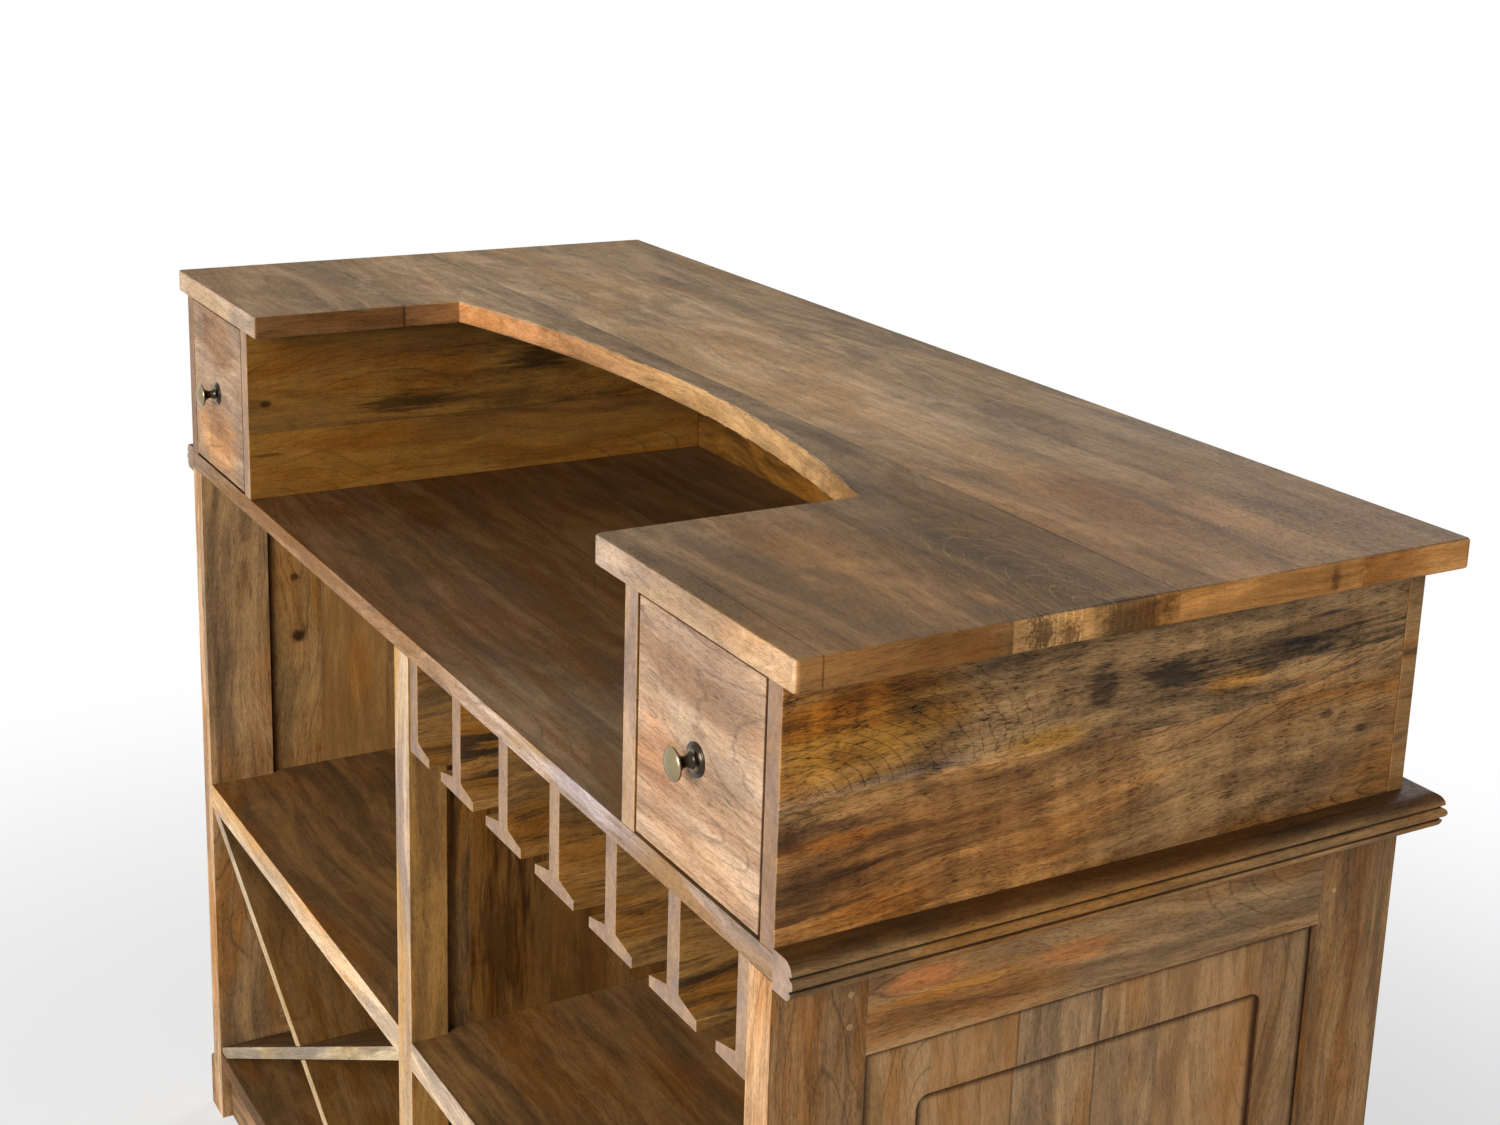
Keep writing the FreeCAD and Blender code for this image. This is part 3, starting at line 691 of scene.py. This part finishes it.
dress("counter_board", "x", 95.0, counter_wood, streaks=0.4, rings=0.4, curl=0.3, smoke=0.1, swirl=0.3,
      glued=counter_strips, seam=0.25, stains=counter_stains, planed=pale_counter_edge)


# Counter moulding.
# An ovolo over a quirk, a bead and a lower quirk, run along both ends and the guests' side and mitred.

upper_quirk, upper_half = 0.85025, 0.0016
lower_quirk, lower_half = 0.84, 0.0012
above_bead = (0.85, 0.852)
quirk_shade = (0.02, 0.012, 0.007)
top_shade = (0.24, 0.19, 0.12)


def darkened_quirks(tree, spot, colour):
    """Painted shade in the two narrow grooves of the moulding and on its top, but not on sawn ends."""
    height = axes(tree, spot)[2]
    run = minus(tree, 1.0, to_server(tree))
    for middle, half in ((upper_quirk, upper_half), (lower_quirk, lower_half)):
        deep = times(tree, run, near(tree, height, middle, half * 0.6, half))
        colour = paint(tree, times(tree, deep, 0.85), colour, quirk_shade)
    # Painted shade on the faces that look up, above the bead.
    upper = times(tree, rise(tree, facing(tree)[2], 0.1, 0.9), rise(tree, height, *above_bead))
    return dye(tree, upper, colour, top_shade)


moulding_wood = (0.38, 0.205, 0.075), (0.26, 0.115, 0.028), (0.18, 0.1, 0.04), (0.05, 0.03, 0.016)
moulding_end = (0.36, 0.25, 0.185)
for step, (node, grain) in enumerate((
    ("moulding_right", "y"), ("moulding_left", "y"), ("moulding_guest", "x"),
)):
    dress(node, grain, 101.0 + step * 2.9, moulding_wood, ease=0.0, streaks=0.6, depth=1.2, rub=0.0,
          fresh=moulding_end, coat=darkened_quirks)


# Upper case.
# Two end boards, two inner boards that make the drawer pockets, and a back board, glued to the counter and
# screwed from below. The end boards were picked for their amber colour and smoky streaks.

amber_wood = (0.335, 0.194, 0.08), (0.29, 0.12, 0.027), (0.145, 0.083, 0.037), (0.033, 0.02, 0.012)
edge_tone = (0.29, 0.175, 0.105)
board_joint = 0.957
amber_strips = strips_of("upper_end_right", "z", [board_joint], [(0.95, 0.15), (1.0, 0.0)])
amber_boards = {"glued": amber_strips, "seam": 0.15, "fresh": edge_tone}
smoke_tint = (0.16, 0.17, 0.2)
knot_tint = (0.3, 0.25, 0.25)
end_stains = on_face("x", end_face, 0.06, [
    # The upper board in front, where the year rings are cut.
    ((-0.225, 1.0), (0.12, 0.06), (0.97, 0.76, 0.25), 0.95, 0.5),
    ((-0.22, 0.962), (0.12, 0.007), (1.0, 1.15, 1.9), 0.8, 0.5),
    ((-0.19, 1.028), (0.07, 0.009), (0.5, 0.45, 0.45), 0.75, 1.2),
    ((-0.276, 1.014), (0.016, 0.006), (0.4, 0.42, 0.5), 0.8, 1.0),
    ((-0.07, 0.967), (0.05, 0.011), (1.0, 0.85, 0.32), 0.9, 0.8),
    ((-0.09, 1.0), (0.07, 0.03), (0.85, 0.85, 0.85), 0.8, 0.6),
    # The lower board and its joint.
    ((-0.16, 0.9), (0.24, 0.07), (1.6, 1.28, 0.85), 0.9, 0.7),
    ((-0.213, 0.94), (0.07, 0.007), (0.6, 0.52, 0.48), 0.8, 0.8),
    ((-0.243, 0.927), (0.06, 0.008), (1.35, 1.05, 0.6), 0.8, 0.7),
    ((-0.262, 0.9), (0.075, 0.024), (0.34, 0.33, 0.36), 0.95, 0.5),
    ((-0.171, 0.951), (0.015, 0.008), (0.45, 0.45, 0.5), 0.8, 1.0),
    ((-0.05, 0.949), (0.11, 0.01), (0.6, 0.58, 0.6), 0.75, 1.2),
    ((0.12, 0.944), (0.13, 0.012), (0.7, 0.66, 0.66), 0.75, 1.2),
    # Smoke across the middle of the upper board, with amber and pale wood beside it.
    ((-0.025, 0.997), (0.019, 0.021), smoke_tint, 0.8, 1.0),
    ((0.041, 0.994), (0.042, 0.021), smoke_tint, 0.97, 1.0),
    ((0.169, 0.997), (0.12, 0.015), smoke_tint, 0.85, 1.4),
    ((0.098, 0.981), (0.042, 0.012), (1.3, 1.0, 0.45), 0.85, 0.8),
    ((0.175, 1.03), (0.12, 0.012), (1.2, 1.25, 1.35), 0.7, 0.7),
    # Two pin knots.
    ((0.192, 0.938), (0.009, 0.005), knot_tint, 0.9, 0.5),
    ((0.228, 0.921), (0.009, 0.005), knot_tint, 0.9, 0.5),
])
end_cuts = on_face("x", end_face, 1.0, [((-0.287, board_joint), (0.245, 0.12), 23.0, dark_line, 0.8)])
dress("upper_end_right", "y", 111.0, amber_wood, streaks=1.0, rings=0.8, curl=0.7, smoke=0.25, depth=2.0,
      stains=end_stains, cuts=end_cuts, turn=("X", -0.04), **amber_boards)
dress("upper_end_left", "y", 114.3, amber_wood, streaks=0.9, rings=0.7, curl=0.4, smoke=0.4, depth=1.4,
      **amber_boards)

inner_wood = (0.3, 0.144, 0.027), (0.23, 0.083, 0.008), (0.14, 0.066, 0.015), (0.032, 0.018, 0.008)
inner_strips = strips_of("inner_side_right", "z", [0.93], [(0.9, 0.3), (0.76, 0.1)])
inner_edge_tone = (0.43, 0.28, 0.175)
inner_smoke = (0.25, 0.25, 0.3)
# A knot, two smoky streaks and a thin dark line on the left pocket's wall, towards the bite.
inner_stains = on_face("x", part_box("inner_side_left")[1].x, 0.03, [
    ((-0.264, 0.962), (0.009, 0.005), (0.2, 0.17, 0.17), 0.95, 0.5),
    ((-0.096, 0.949), (0.08, 0.014), inner_smoke, 0.9, 1.4),
    ((0.05, 0.985), (0.05, 0.016), inner_smoke, 0.9, 1.4),
    ((-0.263, 0.905), (0.025, 0.003), (0.35, 0.3, 0.3), 0.8, 0.8),
])
for number, (side, marks) in enumerate((("right", ()), ("left", inner_stains))):
    dress(f"inner_side_{side}", "y", 117.0 + number * 3.3, inner_wood, streaks=0.8, rings=0.4, smoke=0.25,
          depth=1.2, glued=inner_strips, stains=marks, fresh=inner_edge_tone)

back_shade = (0.84, 0.6, 0.22)
dress("upper_back", "x", 123.0, amber_wood, streaks=0.8, rings=0.5, smoke=0.3, ends=amber_wood,
      planed=back_shade)


# Drawer boxes.
# Dovetailed sides, a plain back and a thin bottom slid in grooves, planed and left without oil.

bare_wood = (0.48, 0.33, 0.19), (0.4, 0.25, 0.12), (0.33, 0.22, 0.12), (0.16, 0.1, 0.055)
for number, side in enumerate(("right", "left")):
    for step, (piece, grain) in enumerate((
        ("drawer_inner_side", "y"), ("drawer_outer_side", "y"),
        ("drawer_back", "x"), ("drawer_bottom", "x"),
    )):
        seed = 131.0 + number * 9.0 + step * 2.0
        dress(f"{piece}_{side}", grain, seed, bare_wood, ease=0.0006, streaks=0.4)


# Drawer fronts.
# Inset fronts with eased edges, cut to take the dovetails of the sides, of pinkish mango with lively grain.

rim_shade = (0.3, 0.23, 0.19)


def darkened_rim(tree, spot, colour):
    """Painted shade on the edges of a front, in the gap."""
    rim = fall(tree, calc(tree, "ABSOLUTE", facing(tree)[1]), 0.3, 0.8)
    return dye(tree, rim, colour, rim_shade)


pink_wood = (0.49, 0.335, 0.218), (0.39, 0.232, 0.132), (0.27, 0.183, 0.12), (0.1, 0.066, 0.047)
right_stains = on_face("y", case_front, 0.04, [
    ((0.55, 1.015), (0.12, 0.05), (0.66, 0.64, 0.66), 0.9, 0.6),
    ((0.603, 0.951), (0.045, 0.022), (0.6, 0.6, 0.62), 0.8, 1.0),
    ((0.5, 0.93), (0.05, 0.05), (1.08, 0.88, 0.74), 0.8, 0.7),
    ((0.56, 0.88), (0.1, 0.03), (1.2, 1.15, 1.05), 0.7, 0.7),
])
left_stains = on_face("y", case_front, 0.04, [
    ((-0.56, 0.895), (0.1, 0.055), (1.4, 1.1, 0.7), 0.85, 0.6),
    ((-0.555, 1.01), (0.1, 0.045), (0.7, 0.55, 0.42), 0.8, 0.8),
    ((-0.56, 0.92), (0.06, 0.02), (0.55, 0.55, 0.6), 0.7, 1.2),
])
for number, (side, marks) in enumerate((("right", right_stains), ("left", left_stains))):
    dress(f"drawer_front_{side}", "x", 151.0 + number * 4.0, pink_wood, ease=0.0004, streaks=0.4, rings=0.4,
          curl=0.3, swirl=0.45, depth=1.15, stains=marks, rub=0.0, coat=darkened_rim)


# Knobs.
# Turned brass mushroom knobs on round rosettes, darkened all over and rubbed bright on the face.

dark_brass = (0.05, 0.038, 0.026)
bright_brass = (0.34, 0.275, 0.15)


def antique_brass(name, bright_before, dark_behind):
    material, tree = start_material(name)
    spot = place(tree, "TexCoord").outputs["Object"]
    mottled = shift(tree, "MULTIPLY", spot, (320.0, 320.0, 320.0))
    mottled = cloud(tree, mottled, detail=4.0, roughness=0.6)[0]
    face = fall(tree, axes(tree, spot)[1], bright_before, dark_behind)
    rubbed = rise(tree, swing(tree, face, mottled, 0.7), 0.0, 1.0)
    colour = tint(tree, rubbed, (*dark_brass, 1), (*bright_brass, 1))
    polish = plus(tree, 0.12, mottled, 0.25)
    brass = place(tree, "BsdfPrincipled", {"Base Color": colour, "Roughness": polish, "Metallic": 1.0})
    place(tree, "OutputMaterial", {"Surface": brass.outputs[0]})
    return material


for side in ("right", "left"):
    for piece, bright_before, dark_behind in (("knob", -0.303, -0.3005), ("knob_rosette", -0.2885, -0.286)):
        node = f"{piece}_{side}"
        turning = boards_of[node]
        turning.data.materials.clear()
        turning.data.materials.append(antique_brass(node, bright_before, dark_behind))
        turning.modifiers.new("weld", "WELD").merge_threshold = same_point
        turning.data.shade_smooth()


# Top slab.
# Long boards glued edge to edge, cut with a curved bite where the server stands, all edges rounded over,
# oiled and greyed by use.

slab_wood = (0.345, 0.226, 0.125), (0.273, 0.163, 0.075), (0.194, 0.13, 0.075), (0.073, 0.05, 0.032)
slab_end_wood = (0.41, 0.22, 0.084), (0.32, 0.148, 0.043), (0.235, 0.124, 0.045), (0.08, 0.043, 0.023)
pale_slab_edge = (2.2, 2.45, 3.2)
slab_joints = [-0.1235, 0.0185, 0.19]
slab_tones = [(0.84, 0.1, 0.78), (0.6, 0.0, 1.9), (1.06, 0.1, 1.5), (0.88, 0.1, 1.5)]
slab_strips = strips_of("top_slab", "y", slab_joints, slab_tones)
slab_low, slab_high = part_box("top_slab")
slab_top = slab_high.z
slab_end = slab_high.x
slab_middle = (slab_low.z + slab_top) / 2
in_slab = 1.06
deep_grain = (0.3, 0.27, 0.26)
slab_stains = [
    # Whole areas of the boards, through their thickness: painted sheen, lighter and greyer to the left and
    # middle, darker and warmer to the right.
    ((0.66, 0.0, in_slab), (0.42, 0.5, 0.1), (0.9, 0.75, 0.55), 1.0, 0.2),
    ((-0.55, -0.05, in_slab), (0.42, 0.09, 0.05), (1.8, 1.82, 1.85), 1.0, 0.1),
    ((-0.2, 0.1, in_slab), (0.8, 0.3, 0.05), (1.36, 1.38, 1.4), 1.0, 0.3),
] + on_face("z", slab_top, 0.004, [
    # The right wing, on its upper face only.
    ((0.55, -0.055), (0.2, 0.065), (0.76, 0.81, 0.78), 0.85, 0.5),
    ((0.56, -0.17), (0.14, 0.055), (1.32, 1.3, 1.27), 0.9, 0.3),
    ((0.46, -0.08), (0.09, 0.04), (1.15, 1.19, 1.33), 0.9, 0.4),
    ((0.65, -0.015), (0.05, 0.03), (0.82, 0.85, 0.82), 0.9, 0.4),
    ((0.615, 0.125), (0.07, 0.05), (0.7, 0.7, 0.71), 0.9, 0.6),
]) + on_face("z", slab_top, 0.02, [
    # Grey and pale clouds along the two boards behind the bite.
    ((0.51, 0.12), (0.13, 0.045), (0.76, 0.69, 0.69), 0.8, 0.8),
    ((0.455, 0.199), (0.08, 0.011), (0.66, 0.6, 0.52), 0.85, 1.1),
    ((-0.46, 0.19), (0.15, 0.035), (0.78, 0.76, 0.76), 0.7, 1.0),
    ((0.27, 0.2), (0.14, 0.05), (0.74, 0.72, 0.72), 0.7, 1.0),
    ((0.57, 0.235), (0.12, 0.04), (0.74, 0.73, 0.74), 0.8, 0.8),
    ((0.63, 0.058), (0.06, 0.016), (0.66, 0.6, 0.56), 0.85, 1.2),
    ((0.1, 0.1), (0.3, 0.07), (1.15, 1.14, 1.12), 0.8, 0.7),
    ((-0.177, 0.284), (0.14, 0.02), (0.68, 0.68, 0.7), 0.7, 1.0),
]) + [
    # The left wing: painted sheen that makes it lighter, and a grey cloud on its upper face.
    ((-0.56, -0.2, in_slab), (0.24, 0.13, 0.05), (1.35, 1.35, 1.35), 1.0, 0.2),
    ((-0.5, -0.21, slab_top), (0.16, 0.05, 0.02), (0.78, 0.78, 0.8), 0.7, 1.0),
    # Two dark glue lines and a pale fleck on the right wing.
    ((0.56, slab_joints[1], slab_top), (0.2, 0.0016, 0.006), (0.3, 0.25, 0.2), 0.9, 0.1),
    ((0.6, -0.2675, slab_middle), (0.3, 0.0011, 0.04), (0.4, 0.34, 0.28), 0.8, 0.1),
    ((0.639, -0.113, slab_top), (0.02, 0.008, 0.004), (1.9, 1.7, 1.4), 0.8, 0.9),
    # The sawn right end.
    ((slab_end, -0.07, slab_middle), (0.006, 0.08, 0.05), (1.0, 1.35, 2.1), 0.9, 0.1),
    ((slab_end, -0.099, slab_middle), (0.008, 0.014, 0.02), deep_grain, 0.9, 1.6),
    ((slab_end, -0.075, 1.05), (0.008, 0.012, 0.012), deep_grain, 0.9, 1.6),
    ((slab_end, -0.02, slab_middle), (0.008, 0.045, 0.04), (0.24, 0.23, 0.22), 0.95, 0.7),
    ((slab_end, 0.165, slab_middle), (0.01, 0.006, 0.012), (0.4, 0.36, 0.36), 0.9, 1.0),
    ((slab_end, 0.22, slab_middle), (0.01, 0.045, 0.03), (0.7, 0.66, 0.66), 0.8, 0.8),
]
# The ovals stand on a level below the slab, so that they show whole on its upper face.
cut_level = 1.0
slab_cuts = on_face("z", cut_level, 1.0, [
    ((0.72, -0.055), (0.26, 0.064), 11.0, (1.95, 1.85, 1.7), 0.8),
    ((0.47, 0.115), (0.17, 0.065), 9.0, (1.3, 1.27, 1.24), 0.7),
    ((0.56, 0.11), (0.1, 0.06), 6.0, (0.72, 0.66, 0.64), 0.5),
])
bite_shade = (1.03, 0.81, 0.48)
left_bite_shade = (0.66, 0.52, 0.46)
shaded_end = (0.5, 0.44, 0.4)
shaded_dark_end = (0.42, 0.4, 0.4)
behind_wings = (-0.27, -0.26)
left_of_bite = (-0.3, 0.1)
short_of_right_end = (0.6, 0.62)
soft_joint = 0.001


def ambered_bite_shaded_ends(tree, spot, colour):
    """The sawn edge of the bite took more oil than the planed front edges, most of all to the left; the ends
    of the boards everywhere but at the right get painted shade, more on the dark board."""
    parts = axes(tree, spot)
    inside = times(tree, to_server(tree), rise(tree, parts[1], *behind_wings))
    colour = dye(tree, inside, colour, bite_shade)
    to_left = fall(tree, parts[0], *left_of_bite)
    colour = dye(tree, times(tree, inside, to_left), colour, left_bite_shade)
    # Painted shade on the board ends but the right one.
    elsewhere = times(tree, to_ends(tree), fall(tree, parts[0], *short_of_right_end))
    colour = dye(tree, elsewhere, colour, shaded_end)
    front_joint, main_joint, _ = slab_joints
    behind_front = rise(tree, parts[1], front_joint - soft_joint, front_joint + soft_joint)
    before_main = fall(tree, parts[1], main_joint - soft_joint, main_joint + soft_joint)
    dark_board = times(tree, behind_front, before_main)
    return dye(tree, times(tree, elsewhere, dark_board), colour, shaded_dark_end)


dress("top_slab", "x", 161.0, slab_wood, ease=0.0, streaks=0.15, curl=0.45, smoke=0.05, swirl=0.65,
      depth=1.1, glued=slab_strips, seam=0.4, ends=slab_end_wood, stains=slab_stains, cuts=slab_cuts,
      planed=pale_slab_edge, coat=ambered_bite_shaded_ends, rub=0.0, gloss=0.06)


# Studio.
# A pale floor that fades to white, a white room, two soft lamps and the camera.


def seen_straight(tree):
    """1 for what the camera sees, straight or in a gloss, 0 for the light that falls on matt surfaces."""
    rays = place(tree, "LightPath").outputs
    indirect = calc(tree, "MAXIMUM", rays["Is Glossy Ray"], rays["Is Transmission Ray"])
    return calc(tree, "MAXIMUM", rays["Is Camera Ray"], indirect)


white = (1, 1, 1, 1)
floor_half = 9
fade_from, fade_to = 0.9, 2.2
corners = [(x * floor_half, y * floor_half, 0) for x, y in ((-1, -1), (1, -1), (1, 1), (-1, 1))]
floor_mesh = bpy.data.meshes.new("floor")
floor_mesh.from_pydata(corners, [], [(0, 1, 2, 3)])
floor = bpy.data.objects.new("floor", floor_mesh)
bpy.context.scene.collection.objects.link(floor)
paper, tree = start_material("pale floor")
reach = length(tree, place(tree, "TexCoord").outputs["Object"])
faded = times(tree, seen_straight(tree), plus(tree, 0.5, rise(tree, reach, fade_from, fade_to), 0.5))
soft = place(tree, "BsdfDiffuse", {"Color": (0.8, 0.8, 0.8, 1)})
bright = place(tree, "Emission", {"Color": white, "Strength": 1.0})
both = place(tree, "MixShader", {0: faded, 1: soft.outputs[0], 2: bright.outputs[0]})
place(tree, "OutputMaterial", {"Surface": both.outputs[0]})
floor_mesh.materials.append(paper)

world = bpy.data.worlds.new("studio")
bpy.context.scene.world = world
world.use_nodes = True
tree = world.node_tree
tree.nodes.clear()
dim = place(tree, "Background", {"Color": white, "Strength": 0.3})
bright = place(tree, "Background", {"Color": white, "Strength": 1.0})
both = place(tree, "MixShader", {0: seen_straight(tree), 1: dim.outputs[0], 2: bright.outputs[0]})
place(tree, "OutputWorld", {"Surface": both.outputs[0]})

lamps_look_at = Vector((0, 0, 0.75))
for name, spot, size, power in (
    ("key", (2.0, -3.8, 2.35), 2.4, 210.0), ("guest fill", (-2.4, 4.2, 3.0), 2.6, 90.0),
):
    lamp = bpy.data.lights.new(name, "AREA")
    lamp.shape = "DISK"
    lamp.size = size
    lamp.energy = power
    stand = bpy.data.objects.new(name, lamp)
    stand.location = spot
    stand.visible_camera = False
    stand.rotation_euler = (lamps_look_at - Vector(spot)).to_track_quat("-Z", "Y").to_euler()
    bpy.context.scene.collection.objects.link(stand)

eye = (1.737, -0.9417, 1.5404)
turn = math.radians(59.65)
tilt = math.radians(14.39)
lean = math.radians(1.79)
back = Vector((math.sin(turn) * math.cos(tilt), -math.cos(turn) * math.cos(tilt), math.sin(tilt)))
right = Vector((math.cos(turn), math.sin(turn), 0))
up = back.cross(right)
across = math.cos(lean) * right + math.sin(lean) * up
upward = math.cos(lean) * up - math.sin(lean) * right
lens = bpy.data.cameras.new("camera")
lens.sensor_width = 36.0
lens.lens = 51.64
lens.shift_y = -0.1
camera = bpy.data.objects.new("camera", lens)
camera.matrix_world = Matrix.Translation(eye) @ Matrix((across, upward, back)).transposed().to_4x4()
bpy.context.scene.collection.objects.link(camera)
bpy.context.scene.camera = camera
bpy.context.scene.view_settings.view_transform = "Standard"
